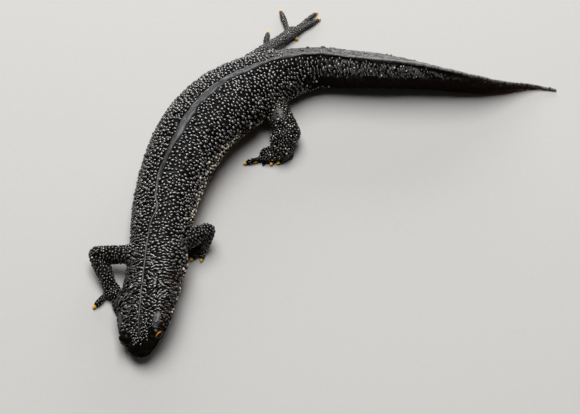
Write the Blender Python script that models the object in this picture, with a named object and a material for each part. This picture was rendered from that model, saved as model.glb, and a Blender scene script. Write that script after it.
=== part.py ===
# A great crested newt as a still, life-size model: body cut into short lengths, eyes, jaw, four legs.
import math

import bmesh
import bpy
import numpy as np
from mathutils import Matrix

for old in list(bpy.data.objects):
    bpy.data.objects.remove(old, do_unlink=True)

# Driving sizes, in metres and degrees unless a line says mm.
MM = 0.001
TOTAL_LENGTH = 135.0               # snout to tail tip along the back, in mm
GAP = 0.3 * MM                     # slit between neighbouring pieces
EYE_RADIUS = 1.3 * MM
EYE_STATION = 3.25 * MM             # how far behind the snout the eyes sit
EYE_SIDE = 3.30 * MM               # eye centre, out from the midline
EYE_RISE = 0.75 * MM               # eye centre, above the widest level of the head
EYE_SLIT = 0.2 * MM
MOUTH_CORNER = 8.6 * MM
CREST_HEIGHT = 0.45 * MM           # the low fold along the back
CREST_WIDTH = 0.75 * MM

# Distance from the snout in mm, then: travel direction (degrees from +X, snout to tail), half width,
# height, lean (degrees, positive to the animal's own right), how far the underside clears the floor.
STATIONS = (
    # from   heading  half   high   lean   clear
    (0.0,    92.0,    1.70,  2.00,  22.0,  1.75),
    (0.9,    92.0,    2.70,  2.55,  22.0,  1.55),
    (2.1,    91.0,    3.60,  3.25,  22.0,  1.35),
    (4.1,    88.0,    4.80,  4.45,  21.0,  1.20),
    (6.9,    84.5,    5.65,  5.50,  20.0,  1.10),
    (10.4,   83.5,    6.10,  6.40,  19.5,  1.00),
    (16.2,   84.5,    5.25,  7.10,  20.0,  0.90),
    (23.2,   82.5,    5.50,  8.00,  20.0,  0.70),
    (30.2,   82.0,    6.40,  9.20,  19.0,  0.15),
    (38.2,   77.0,    6.95,  10.3,  18.0,  -0.20),
    (46.2,   69.5,    7.65,  11.0,  15.5,  -0.25),
    (54.2,   57.5,    8.25,  11.4,  13.0,  -0.25),
    (62.2,   43.0,    8.60,  11.4,  12.0,  -0.25),
    (70.2,   35.5,    7.20,  10.8,  7.0,   -0.15),
    (76.2,   24.5,    5.35,  10.2,  0.0,   0.10),
    (82.2,   7.5,     4.30,  9.90,  -4.0,  0.10),
    (89.2,   -6.5,    4.10,  10.2,  -9.0,  -0.05),
    (97.2,   -6.5,    3.70,  10.6,  -12.0, -0.10),
    (106.2,  -8.0,    2.50,  10.1,  -10.0, -0.10),
    (115.2,  -4.0,    1.50,  8.20,  -10.0, -0.10),
    (119.5,  3.0,     1.05,  6.30,  -9.0,  -0.08),
    (123.0,  9.0,     0.75,  4.50,  -8.0,  -0.06),
    (126.5,  12.0,    0.52,  2.90,  -5.0,  -0.04),
    (129.5,  4.0,     0.42,  1.70,  -3.0,  -0.03),
    (132.0,  -8.0,    0.36,  0.90,  0.0,   -0.02),
    (135.0,  -10.0,   0.30,  0.60,  0.0,   -0.02),
)
# Squareness of the section (2 is an ellipse) and the share of the height above the widest level.
SHAPES = (
    # from   squareness  share above
    (0.0,    2.3,        0.50),
    (7.5,    2.4,        0.53),
    (17.0,   2.2,        0.55),
    (37.0,   2.2,        0.58),
    (71.0,   2.1,        0.58),
    (83.0,   2.0,        0.55),
    (98.0,   1.65,       0.50),
    (116.0,  1.6,        0.50),
    (135.0,  2.0,        0.50),
)
SNOUT_X = -36.57 * MM
SNOUT_Y = -43.91 * MM
# Each length of the body: name, where it starts and ends (mm from the snout), ring spacing (mm).
LENGTHS = (
    ("head", 0.0, 13.5, 1.25),
    ("neck", 13.5, 23.5, 1.8),
    ("trunk_front", 23.5, 37.0, 2.3),
    ("trunk_middle", 37.0, 52.0, 2.4),
    ("trunk_rear", 52.0, 67.0, 2.3),
    ("pelvis", 67.0, 79.0, 2.0),
    ("tail_base", 79.0, 93.0, 2.3),
    ("tail_middle", 93.0, 109.0, 2.7),
    ("tail_rear", 109.0, 123.5, 2.8),
    ("tail_tip", 123.5, TOTAL_LENGTH, 2.2),
)
# Angles round the body section, from the middle of the back; closer together beside the crest.
RING_ANGLES = (0, 4.6, 10, 22, 38, 55, 72, 90, 108, 126, 144, 162, 180)

# Legs: places in mm (X, Y, Z) with the radius there, then the palm and the tip of each digit.
DIGIT_RADIUS = 0.56 * MM
LEGS = (
    dict(
        names=("right_upper_arm", "right_forearm", "right_hand"),
        root=(-37.92, -22.41, 4.90, 2.00),
        bend=(-46.32, -21.51, 3.30, 1.85),
        calf=(-45.11, -24.43, 2.48, 1.70),
        wrist=(-44.12, -26.81, 1.80, 1.45),
        palm=(-43.22, -28.51, 1.10, 1.75),
        digits=((-44.32, -29.01, -46.72, -31.81), (-43.12, -29.31, -42.22, -33.21),
                (-42.72, -29.31, -41.12, -32.11), (-42.52, -28.51, -40.62, -29.71)),
    ),
    dict(
        names=("left_upper_arm", "left_forearm", "left_hand"),
        root=(-29.22, -19.11, 4.90, 1.95),
        bend=(-24.92, -16.51, 4.20, 1.75),
        calf=(-25.25, -17.39, 2.83, 1.53),
        wrist=(-25.52, -18.11, 1.70, 1.25),
        palm=(-26.32, -18.51, 1.00, 1.45),
        digits=((-25.52, -18.71, -26.02, -20.91), (-26.52, -19.11, -28.02, -20.71),
                (-26.92, -18.81, -29.32, -20.11), (-26.92, -18.41, -29.62, -18.51)),
    ),
    dict(
        names=("left_thigh", "left_shank", "left_foot"),
        root=(-13.22, 18.49, 5.20, 2.50),
        bend=(-8.57, 8.69, 3.20, 2.50),
        calf=(-9.70, 7.25, 2.75, 2.80),
        wrist=(-10.02, 5.39, 2.00, 2.20),
        palm=(-12.62, 4.89, 1.10, 1.85),
        digits=((-13.72, 4.29, -17.72, 3.09), (-13.92, 4.49, -15.52, 3.49),
                (-12.92, 4.29, -13.82, 2.99), (-11.72, 4.29, -12.22, 2.79),
                (-8.22, 4.99, -10.87, 3.09)),
    ),
    dict(
        names=("right_thigh", "right_shank", "right_foot"),
        root=(-17.92, 21.49, 4.40, 2.30),
        bend=(-16.92, 28.09, 2.50, 1.75),
        calf=(-15.10, 30.07, 2.23, 1.65),
        wrist=(-13.62, 31.69, 2.00, 1.45),
        palm=(-7.92, 37.49, 1.10, 1.45),
        digits=((-13.82, 32.69, -13.02, 38.19), (-8.72, 38.09, -10.42, 44.19),
                (-7.12, 38.29, -2.52, 43.59), (-6.72, 37.89, -1.92, 41.79),
                (-8.12, 36.89, -6.82, 36.19)),
    ),
)
# Bulges: distance from the snout, angle from the midline, height, spread along, spread round, side
# (0 for both sides, 1 for the left only).
BULGES = (
    (3.3, 52.0, 0.30, 1.6, 22.0, 0),     # brow over the eye
    (10.0, 55.0, 0.30, 2.3, 24.0, 0),    # gland behind the eye
    (19.0, 96.0, 1.80, 5.0, 48.0, 1),    # shoulder pushed out by the bent foreleg
    (79.0, 98.0, 0.55, 5.0, 38.0, 1),    # root of the tail, fuller below
)
COLOURS = dict(skin=(0.012, 0.011, 0.010), belly=(0.55, 0.20, 0.02), eye=(0.45, 0.20, 0.03))


# Smooth values along the body
def smooth_between(knots, values, where):
    """Cubic curve through the named stations; slopes limited so it never overshoots."""
    knots = np.asarray(knots, float)
    values = np.asarray(values, float)
    step = np.diff(knots)
    rise = np.diff(values) / step
    slope = np.zeros_like(values)
    slope[0] = rise[0]
    slope[-1] = rise[-1]
    same = rise[:-1] * rise[1:] > 0
    mean = (rise[:-1] * step[1:] + rise[1:] * step[:-1]) / (step[:-1] + step[1:])
    limit = 3.0 * np.minimum(np.abs(rise[:-1]), np.abs(rise[1:]))
    slope[1:-1] = np.where(same, np.sign(mean) * np.minimum(np.abs(mean), limit), 0.0)
    where = np.clip(np.asarray(where, float), knots[0], knots[-1])
    cell = np.clip(np.searchsorted(knots, where, side="right") - 1, 0, len(step) - 1)
    t = (where - knots[cell]) / step[cell]
    h = step[cell]
    a = values[cell] * (1 + 2 * t) * (1 - t) ** 2
    b = slope[cell] * h * t * (1 - t) ** 2
    c = values[cell + 1] * t * t * (3 - 2 * t)
    d = slope[cell + 1] * h * t * t * (t - 1)
    return a + b + c + d


def station(column, where):
    table = np.array(STATIONS)
    return smooth_between(table[:, 0], table[:, column], where)


def shape(column, where):
    table = np.array(SHAPES)
    return smooth_between(table[:, 0], table[:, column], where)


FINE = np.linspace(0.0, TOTAL_LENGTH, 600)
FINE_TURN = np.radians(station(1, FINE))
FINE_DIR = np.stack([np.cos(FINE_TURN), np.sin(FINE_TURN)], 1)
FINE_STEP = (FINE_DIR[1:] + FINE_DIR[:-1]) * 0.5 * np.diff(FINE)[:, None] * MM
FINE_PATH = np.vstack([[SNOUT_X, SNOUT_Y], [SNOUT_X, SNOUT_Y] + np.cumsum(FINE_STEP, 0)])


def body_frame(where):
    """Centre on the floor, and the directions from snout to tail and to the animal's left."""
    centre = np.array([np.interp(where, FINE, FINE_PATH[:, k]) for k in (0, 1)])
    turn = math.radians(float(station(1, where)))
    along = np.array([math.cos(turn), math.sin(turn)])
    left = np.array([math.sin(turn), -math.cos(turn)])
    return centre, along, left


def body_section(where, angles, grow):
    """One section in its own plane: how far to the left and how far up, before the lean."""
    half = float(station(2, where)) * MM + grow
    tall = float(station(3, where)) * MM
    above = float(shape(2, where))
    power = 2.0 / float(shape(1, where))
    up_size = tall * above + grow
    down_size = tall * (1 - above) + grow
    turn = np.radians(angles)
    side = np.sin(turn)
    rise = np.cos(turn)
    lateral = half * np.sign(side) * np.abs(side) ** power
    size = np.where(rise > 0, up_size, down_size)
    vertical = size * np.sign(rise) * np.abs(rise) ** power
    for start, angle, height, spread, width, only in BULGES:
        near = math.exp(-((where - start) / spread) ** 2)
        signed = (angles + 180) % 360 - 180
        off = (signed if only else np.abs(signed)) - angle
        push = height * MM * near * np.exp(-(off / width) ** 2)
        lateral = lateral + push * np.sign(side) * np.abs(side)
        vertical = vertical + push * rise
    fade = min(1.0, max(0.0, (where - 13) / 30)) * min(1.0, max(0.0, (109 - where) / 20))
    crest = CREST_HEIGHT * fade
    vertical = vertical + crest * np.exp(-(lateral / CREST_WIDTH) ** 2) * (rise > 0)
    return lateral, vertical


def body_ring(where, grow=0.0):
    """One section placed in the room: leaned over, set down on the floor, flat where it rests."""
    half_turn = np.array(RING_ANGLES, float)
    angles = np.concatenate([half_turn, 360.0 - half_turn[-2:0:-1]])
    lean = math.radians(float(station(4, where)))
    plain_side, plain_rise = body_section(where, angles, 0.0)
    floor_to_centre = -np.min(plain_side * math.sin(lean) + plain_rise * math.cos(lean))
    floor_to_centre += float(station(5, where)) * MM
    lateral, vertical = body_section(where, angles, grow)
    across = lateral * math.cos(lean) - vertical * math.sin(lean)
    height = lateral * math.sin(lean) + vertical * math.cos(lean) + floor_to_centre
    centre, along, left = body_frame(where)
    ring = np.zeros((len(angles), 3))
    ring[:, :2] = centre + across[:, None] * left
    ring[:, 2] = np.maximum(height, 0.0) if grow == 0.0 else height
    return ring


def body_point(where, lateral, vertical):
    """A point given in the leaned section's own plane, metres from its centre."""
    lean = math.radians(float(station(4, where)))
    half_turn = np.array(RING_ANGLES, float)
    angles = np.concatenate([half_turn, 360.0 - half_turn[-2:0:-1]])
    side, rise = body_section(where, angles, 0.0)
    floor_to_centre = -np.min(side * math.sin(lean) + rise * math.cos(lean)) + float(station(5, where)) * MM
    centre, along, left = body_frame(where)
    across = lateral * math.cos(lean) - vertical * math.sin(lean)
    height = lateral * math.sin(lean) + vertical * math.cos(lean) + floor_to_centre
    return np.array([*(centre + across * left), height])


# Solids
def solid(name, rings, ends=(None, None)):
    """A closed skin over a row of rings; an end is flat, or drawn in to the point given for it."""
    rings = np.asarray(rings)
    count, around = rings.shape[:2]
    points = [tuple(p) for p in rings.reshape(-1, 3)]
    faces = []
    for i in range(count - 1):
        for j in range(around):
            k = (j + 1) % around
            faces.append((i * around + j, i * around + k, (i + 1) * around + k, (i + 1) * around + j))
    for end, row in ((0, 0), (1, count - 1)):
        tip = ends[end]
        if tip is None:
            tip = rings[row].mean(0)
        points.append(tuple(tip))
        last = len(points) - 1
        for j in range(around):
            k = (j + 1) % around
            faces.append((row * around + k, row * around + j, last))
    mesh = bpy.data.meshes.new(name)
    mesh.from_pydata(points, [], faces)
    made = bpy.data.objects.new(name, mesh)
    bpy.context.scene.collection.objects.link(made)
    tidy(made)
    return made


def tidy(target):
    """Merge doubles, make every face a triangle and turn the faces outward."""
    work = bmesh.new()
    work.from_mesh(target.data)
    bmesh.ops.remove_doubles(work, verts=work.verts, dist=0.000002)
    bmesh.ops.dissolve_degenerate(work, edges=work.edges, dist=0.000001)
    bmesh.ops.triangulate(work, faces=work.faces)
    bmesh.ops.recalc_face_normals(work, faces=work.faces)
    work.to_mesh(target.data)
    work.free()


def combine(target, other, how, keep=False):
    """Cut, join or keep the shared part of two solids, and drop the second one."""
    change = target.modifiers.new("Change", "BOOLEAN")
    change.object = other
    change.operation = how
    change.solver = "EXACT"
    bpy.context.view_layer.update()
    graph = bpy.context.evaluated_depsgraph_get()
    result = bpy.data.meshes.new_from_object(target.evaluated_get(graph))
    target.modifiers.clear()
    target.data = result
    if not keep:
        bpy.data.objects.remove(other, do_unlink=True)
    tidy(target)


def body_length(name, start, end, spacing, grow=0.0):
    steps = max(2, int(round((end - start) / spacing)))
    rings = [body_ring(start + (end - start) * i / steps, grow) for i in range(steps + 1)]
    ends = [None, None]
    if start <= 0.0:
        rings = [draw_in(rings[0], share) for share in (0.45, 0.8)] + rings
        shift = body_frame(0.0)[1]
        for ring, back in ((rings[0], 0.62), (rings[1], 0.38)):
            ring[:, :2] -= shift * back * MM
        ends[0] = rings[0].mean(0) - np.array([*shift, 0.0]) * 0.1 * MM
    return solid(name, rings, ends)


def draw_in(ring, share):
    middle = ring.mean(0)
    return middle + (ring - middle) * share


def ball(name, centre, radius, rows=8, around=14):
    rings = []
    for i in range(1, rows):
        polar = math.pi * i / rows
        turn = np.arange(around) * 2 * math.pi / around
        ring = np.stack([np.cos(turn) * math.sin(polar), np.sin(turn) * math.sin(polar),
                         np.full(around, math.cos(polar))], 1)
        rings.append(centre + radius * ring)
    top = centre + np.array([0, 0, radius])
    bottom = centre - np.array([0, 0, radius])
    return solid(name, rings, (top, bottom))


def tube(name, places, sides=12, squash=1.0, caps=3, every=1.2):
    """A rounded limb length along a few places (X, Y, Z, radius in mm), bent smoothly between them."""
    places = np.array(places, float) * MM
    reach = np.concatenate([[0.0], np.cumsum(np.linalg.norm(np.diff(places[:, :3], axis=0), axis=1))])
    steps = max(2, int(round(reach[-1] / (every * MM))))
    where = np.linspace(0.0, reach[-1], steps + 1)
    line = np.stack([smooth_between(reach, places[:, k], where) for k in range(4)], 1)
    ahead = np.gradient(line[:, :3], axis=0)
    ahead /= np.linalg.norm(ahead, axis=1)[:, None]
    rounded = []
    for i in range(caps):
        swing = math.pi / 2 * (i + 0.6) / (caps + 0.6)
        rounded.append((math.sin(swing), math.cos(swing)))
    first, last = line[0], line[-1]
    rows = []
    for share, back in rounded:
        rows.append((first[:3] - ahead[0] * first[3] * back, first[3] * share, ahead[0]))
    for i in range(len(line)):
        rows.append((line[i, :3], line[i, 3], ahead[i]))
    for share, back in reversed(rounded):
        rows.append((last[:3] + ahead[-1] * last[3] * back, last[3] * share, ahead[-1]))
    turn = np.arange(sides) * 2 * math.pi / sides
    rings = []
    for centre, radius, forward in rows:
        side = np.cross(forward, (0, 0, 1.0))
        side /= np.linalg.norm(side)
        up = np.cross(side, forward)
        ring = centre + radius * (np.cos(turn)[:, None] * side + squash * np.sin(turn)[:, None] * up)
        ring[:, 2] = np.maximum(ring[:, 2], 0.0)
        rings.append(ring)
    tips = [first[:3] - ahead[0] * first[3], last[:3] + ahead[-1] * last[3]]
    for tip in tips:
        tip[2] = max(tip[2], 0.0)
    return solid(name, rings, tips)


def half_room(name, point, facing):
    """A big block filling everything on the side of a plane that the arrow points to."""
    facing = np.array(facing, float) / np.linalg.norm(facing)
    side = np.cross(facing, (0.31, 0.17, 0.93))
    side /= np.linalg.norm(side)
    other = np.cross(facing, side)
    size = 30 * MM
    rings = []
    for depth in (0.0, size):
        corners = ((-1, -1), (1, -1), (1, 1), (-1, 1))
        rings.append([np.array(point) + facing * depth + (a * side + b * other) * size for a, b in corners])
    return solid(name, rings)


def leg(spec, body_cutter):
    """Three solids of one leg, split by thin slits across the two bends."""
    root, bend, calf, wrist, palm = (np.array(spec[key], float) for key in ("root", "bend", "calf", "wrist", "palm"))
    upper = tube(spec["names"][0], (root, (root + bend) / 2 * (1, 1, 1.04, 1.0), bend))
    lower = tube(spec["names"][1], (bend, calf, wrist))
    beyond = palm + (palm - wrist) * (0.25, 0.25, 0, 0) / max(0.4, np.linalg.norm((palm - wrist)[:2]))
    end = tube(spec["names"][2], (wrist, (wrist + palm) / 2, palm, beyond), squash=0.62)
    thick = DIGIT_RADIUS / MM
    for start_x, start_y, x, y in spec["digits"]:
        start = np.array((start_x, start_y))
        knuckle = start + 0.5 * (np.array((x, y)) - start)
        places = ((*start, 0.85, thick * 1.1), (*knuckle, 0.70, thick), (x, y, 0.42, thick * 0.8))
        digit = tube("digit", places,
                      sides=6, caps=2, every=1.6)
        combine(end, digit, "UNION")
    cuts = ((upper, lower, bend[:3], bend[:3] - root[:3], wrist[:3] - bend[:3]),
            (lower, end, wrist[:3], wrist[:3] - bend[:3], palm[:3] - wrist[:3]))
    for near, far, place, before, after in cuts:
        facing = before / np.linalg.norm(before) + after / np.linalg.norm(after)
        facing = facing / np.linalg.norm(facing)
        place = place * MM
        combine(near, half_room("cut", place - facing * GAP / 2, facing), "DIFFERENCE")
        combine(far, half_room("cut", place + facing * GAP / 2, -facing), "DIFFERENCE")
    for piece in (upper, lower, end):
        combine(piece, body_cutter, "DIFFERENCE", keep=True)
    return upper, lower, end


# Body
pieces = {}
for length_name, begin, finish, every in LENGTHS:
    first_gap = 0.0 if begin == 0.0 else GAP / MM / 2
    last_gap = 0.0 if length_name == "tail_tip" else GAP / MM / 2
    pieces[length_name] = body_length(length_name, begin + first_gap, finish - last_gap, every)

# Eyes, each in its own socket.
for side_name, sign in (("left", 1), ("right", -1)):
    middle = body_point(EYE_STATION / MM, sign * EYE_SIDE, EYE_RISE)
    pieces["eye_" + side_name] = ball("eye_" + side_name, middle, EYE_RADIUS)
    combine(pieces["head"], ball("socket", middle, EYE_RADIUS + EYE_SLIT), "DIFFERENCE")


# Lower jaw: everything in the head below the mouth line, up to the corner of the mouth.
def below_mouth(name, lift, back_end):
    rings = []
    for step in range(9):
        where = -2.0 + (back_end + 2.0) * step / 8
        near = max(where, 0.0)
        line = (-0.10 - 0.055 * near) * MM + lift
        shift = (min(where, 0.0)) * MM
        corners = ((-12 * MM, line), (12 * MM, line), (12 * MM, -9 * MM), (-12 * MM, -9 * MM))
        ring = np.array([body_point(near, a, b) for a, b in corners])
        ring[:, :2] += body_frame(near)[1] * shift
        rings.append(ring)
    return solid(name, rings)


jaw = bpy.data.objects.new("lower_jaw", pieces["head"].data.copy())
bpy.context.scene.collection.objects.link(jaw)
pieces["lower_jaw"] = jaw
combine(jaw, below_mouth("cut", -GAP / 2, MOUTH_CORNER / MM), "INTERSECT")
combine(pieces["head"], below_mouth("cut", GAP / 2, (MOUTH_CORNER + GAP) / MM), "DIFFERENCE")

# Legs, kept clear of the body by a slit.
clear_of_body = body_length("body_cutter", 0.0, 107.0, 1.8, GAP)
for spec in LEGS:
    for made in leg(spec, clear_of_body):
        pieces[made.name] = made
bpy.data.objects.remove(clear_of_body, do_unlink=True)

# Origin, colours, shading
corners = np.concatenate([np.array([v.co for v in p.data.vertices]) for p in pieces.values()])
shift = np.array([(corners[:, 0].max() + corners[:, 0].min()) / 2,
                  (corners[:, 1].max() + corners[:, 1].min()) / 2, 0.0])
for name, piece in pieces.items():
    piece.data.transform(Matrix.Translation(-shift))


def paint(name, colour, roughness):
    material = bpy.data.materials.new(name + "_surface")
    material.use_nodes = True
    surface = material.node_tree.nodes["Principled BSDF"]
    surface.inputs["Base Color"].default_value = (*colour, 1.0)
    surface.inputs["Roughness"].default_value = roughness
    surface.inputs["Metallic"].default_value = 0.0
    material.diffuse_color = (*colour, 1.0)
    return material


for name, piece in pieces.items():
    eye = name.startswith("eye")
    piece.data.materials.clear()
    piece.data.materials.append(paint(name, COLOURS["eye" if eye else "skin"], 0.15 if eye else 0.4))
    piece.data.shade_smooth()
    piece.data.set_sharp_from_angle(angle=math.radians(50))
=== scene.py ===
import math

import bpy
import numpy as np
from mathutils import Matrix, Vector, kdtree


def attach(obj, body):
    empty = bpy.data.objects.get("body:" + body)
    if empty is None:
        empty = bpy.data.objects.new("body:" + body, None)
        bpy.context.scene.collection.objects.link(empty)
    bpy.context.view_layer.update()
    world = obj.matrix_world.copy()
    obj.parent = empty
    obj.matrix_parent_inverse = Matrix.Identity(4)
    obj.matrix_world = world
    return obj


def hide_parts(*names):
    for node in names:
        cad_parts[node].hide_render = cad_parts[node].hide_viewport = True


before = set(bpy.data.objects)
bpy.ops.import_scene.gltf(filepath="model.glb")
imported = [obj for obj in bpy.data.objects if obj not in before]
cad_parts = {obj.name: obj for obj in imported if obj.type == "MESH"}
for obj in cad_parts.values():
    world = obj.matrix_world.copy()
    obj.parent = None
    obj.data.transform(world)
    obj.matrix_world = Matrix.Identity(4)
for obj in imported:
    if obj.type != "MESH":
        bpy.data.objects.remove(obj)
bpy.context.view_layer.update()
print("frame loaded:", len(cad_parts), "nodes")

# Everything below is worked out in millimetres and scaled to metres when a mesh is made.
toMetres = 0.001
scene = bpy.context.scene

# the body's plan
bodyForm = {
    "snout": (-36.57, -43.91),       # where the back's line starts on the floor
    "length": 135.0,                 # snout to tail tip along the back
    "coatDepth": 0.23,               # the skin lies this far inside the outline, warts fill it
    # from the snout: direction of travel, half width, height, lean to the animal's right (degrees),
    # clearance below
    "stations": (
        (0.0, 92.0, 1.70, 2.00, 22.0, 1.75),
        (0.9, 92.0, 2.70, 2.55, 22.0, 1.55),
        (2.1, 91.0, 3.60, 3.25, 22.0, 1.35),
        (4.1, 88.0, 4.80, 4.45, 21.0, 1.20),
        (6.9, 84.5, 5.65, 5.50, 20.0, 1.10),
        (10.4, 83.5, 6.10, 6.40, 19.5, 1.00),
        (16.2, 84.5, 5.25, 7.10, 20.0, 0.90),
        (23.2, 82.5, 5.50, 8.00, 20.0, 0.70),
        (30.2, 82.0, 6.40, 9.20, 19.0, 0.15),
        (38.2, 77.0, 6.95, 10.3, 18.0, -0.20),
        (46.2, 69.5, 7.65, 11.0, 15.5, -0.25),
        (54.2, 57.5, 8.25, 11.4, 13.0, -0.25),
        (62.2, 43.0, 8.60, 11.4, 12.0, -0.25),
        (70.2, 35.5, 7.20, 10.8, 7.0, -0.15),
        (76.2, 24.5, 5.35, 10.2, 0.0, 0.10),
        (82.2, 7.5, 4.30, 9.90, -4.0, 0.10),
        (89.2, -6.5, 4.10, 10.2, -9.0, -0.05),
        (97.2, -6.5, 3.70, 10.6, -12.0, -0.10),
        (106.2, -8.0, 2.50, 10.1, -10.0, -0.10),
        (115.2, -4.0, 1.50, 8.20, -10.0, -0.10),
        (119.5, 3.0, 1.05, 6.30, -9.0, -0.08),
        (123.0, 9.0, 0.75, 4.50, -8.0, -0.06),
        (126.5, 12.0, 0.52, 2.90, -5.0, -0.04),
        (129.5, 4.0, 0.42, 1.70, -3.0, -0.03),
        (132.0, -8.0, 0.36, 0.90, 0.0, -0.02),
        (135.0, -10.0, 0.30, 0.60, 0.0, -0.02),
    ),
    # squareness of the section (2 is an ellipse), share of the height above the widest level
    "sections": (
        (0.0, 2.3, 0.50), (7.5, 2.4, 0.53), (17.0, 2.2, 0.55), (37.0, 2.2, 0.58), (71.0, 2.1, 0.58),
        (83.0, 2.0, 0.55), (98.0, 1.65, 0.50), (116.0, 1.6, 0.50), (135.0, 2.0, 0.50),
    ),
    # from the snout, angle from the mid-back, height, spread along, spread round, left side only
    "bulges": (
        (3.3, 52.0, 0.30, 1.6, 22.0, False),
        (10.0, 55.0, 0.30, 2.3, 24.0, False),
        (19.0, 96.0, 1.80, 5.0, 48.0, True),
        (79.0, 98.0, 0.55, 5.0, 38.0, True),
    ),
    "crestHeight": 0.45,
    "crestWidth": 0.75,
    "snoutRound": 0.66,              # how far the rounded snout reaches in front of the first section
}


def smoothBetween(knots, values, where):
    # cubic through the knots, with each slope limited so that the curve never overshoots
    knots = np.asarray(knots, float)
    values = np.asarray(values, float)
    step = np.diff(knots)
    rise = np.diff(values) / step
    slope = np.zeros_like(values)
    slope[0], slope[-1] = rise[0], rise[-1]
    mean = (rise[:-1] * step[1:] + rise[1:] * step[:-1]) / (step[:-1] + step[1:])
    limit = 3.0 * np.minimum(np.abs(rise[:-1]), np.abs(rise[1:]))
    slope[1:-1] = np.where(rise[:-1] * rise[1:] > 0, np.sign(mean) * np.minimum(np.abs(mean), limit), 0.0)
    where = np.clip(np.asarray(where, float), knots[0], knots[-1])
    cell = np.clip(np.searchsorted(knots, where, side="right") - 1, 0, len(step) - 1)
    t = (where - knots[cell]) / step[cell]
    width = step[cell]
    return (values[cell] * (1 + 2 * t) * (1 - t) ** 2 + slope[cell] * width * t * (1 - t) ** 2
            + values[cell + 1] * t * t * (3 - 2 * t) + slope[cell + 1] * width * t * t * (t - 1))


bodyColumns = {
    "turn": ("stations", 1), "half": ("stations", 2), "tall": ("stations", 3), "lean": ("stations", 4),
    "clearance": ("stations", 5), "squareness": ("sections", 1), "above": ("sections", 2),
}


def bodyAt(quantity, where):
    # one column of the body's plan, at any distance from the snout
    table, column = bodyColumns[quantity]
    rows = np.array(bodyForm[table])
    return smoothBetween(rows[:, 0], rows[:, column], where)


def ease(low, high, value):
    # 0 below low, 1 above high, a smooth S between
    t = np.clip((np.asarray(value, float) - low) / (high - low), 0.0, 1.0)
    return t * t * (3 - 2 * t)


def fall(low, high, value):
    # 1 below low, 0 above high
    return 1 - ease(low, high, value)


def within(start, full, fade, end, value):
    # 1 from full to fade, 0 before start and after end
    return ease(start, full, value) * fall(fade, end, value)


def bell(value, middle, width):
    return np.exp(-((value - middle) / width) ** 2)


def lengthOf(vectors):
    return np.linalg.norm(vectors, axis=-1)


def unit(vectors):
    return vectors / np.maximum(np.linalg.norm(vectors, axis=-1, keepdims=True), 1e-9)


# the back's line on the floor: directions added up in small steps
lineFrom = np.linspace(0.0, bodyForm["length"], 901)
lineTurn = np.radians(bodyAt("turn", lineFrom))
lineAhead = np.stack([np.cos(lineTurn), np.sin(lineTurn)], 1)
lineSteps = 0.5 * (lineAhead[1:] + lineAhead[:-1]) * np.diff(lineFrom)[:, None]
lineAt = np.vstack([[bodyForm["snout"]], np.add(bodyForm["snout"], np.cumsum(lineSteps, 0))])


def bodyFrame(where):
    # point of the back's line, direction from snout to tail, direction to the animal's left
    where = np.asarray(where, float)
    at = np.stack([np.interp(where, lineFrom, lineAt[:, k]) for k in (0, 1)], -1)
    turn = np.radians(bodyAt("turn", where))
    ahead = np.stack([np.cos(turn), np.sin(turn)], -1)
    left = np.stack([np.sin(turn), -np.cos(turn)], -1)
    return at + np.minimum(where, 0.0)[..., None] * ahead, ahead, left


def sectionOutline(where, angle, grow):
    # superellipse |side/half|^n + |rise/size|^n = 1 with the bulges and the low crest added
    half = bodyAt("half", where) + grow
    tall = bodyAt("tall", where)
    above = bodyAt("above", where)
    power = 2.0 / bodyAt("squareness", where)
    side, rise = np.sin(angle), np.cos(angle)
    lateral = half * np.sign(side) * np.abs(side) ** power
    size = np.where(rise > 0, tall * above + grow, tall * (1 - above) + grow)
    vertical = size * np.sign(rise) * np.abs(rise) ** power
    degrees = (np.degrees(angle) + 180.0) % 360.0 - 180.0
    for start, middle, height, spread, width, leftOnly in bodyForm["bulges"]:
        off = degrees if leftOnly else np.abs(degrees)
        push = height * bell(where, start, spread) * bell(off, middle, width)
        lateral = lateral + push * side
        vertical = vertical + push * rise
    fade = np.clip((where - 13) / 30, 0, 1) * np.clip((109 - where) / 20, 0, 1)
    crest = bodyForm["crestHeight"] * fade * np.exp(-(lateral / bodyForm["crestWidth"]) ** 2)
    return lateral, vertical + crest * (rise > 0)


roundAngles = np.radians(np.arange(0.0, 360.0, 5.0))
lean = np.radians(bodyAt("lean", lineFrom))[:, None]
plainSide, plainRise = sectionOutline(lineFrom[:, None], roundAngles[None, :], 0.0)
liftTable = bodyAt("clearance", lineFrom) - np.min(plainSide * np.sin(lean) + plainRise * np.cos(lean), 1)


def placeSection(where, lateral, vertical):
    # a place in a section's own plane leans over and is lifted to where that section rests
    lean = np.radians(bodyAt("lean", where))
    lift = np.interp(where, lineFrom, liftTable)
    across = lateral * np.cos(lean) - vertical * np.sin(lean)
    height = lateral * np.sin(lean) + vertical * np.cos(lean) + lift
    at, _, left = bodyFrame(where)
    return np.concatenate([at + across[..., None] * left, height[..., None]], -1)


def bodySurface(where, angle, grow=0.0):
    # two parameters: the distance from the snout and the angle round the section
    where, angle = np.broadcast_arrays(np.asarray(where, float), np.asarray(angle, float))
    lateral, vertical = sectionOutline(np.maximum(where, 0.0), angle, grow)
    reach = bodyForm["snoutRound"]
    share = np.sqrt(np.clip(1 - (np.minimum(where, 0.0) / reach) ** 2, 0.0, 1.0))
    share = np.where(where < 0, share, 1.0)
    return placeSection(where, lateral * share, vertical * share)


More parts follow.
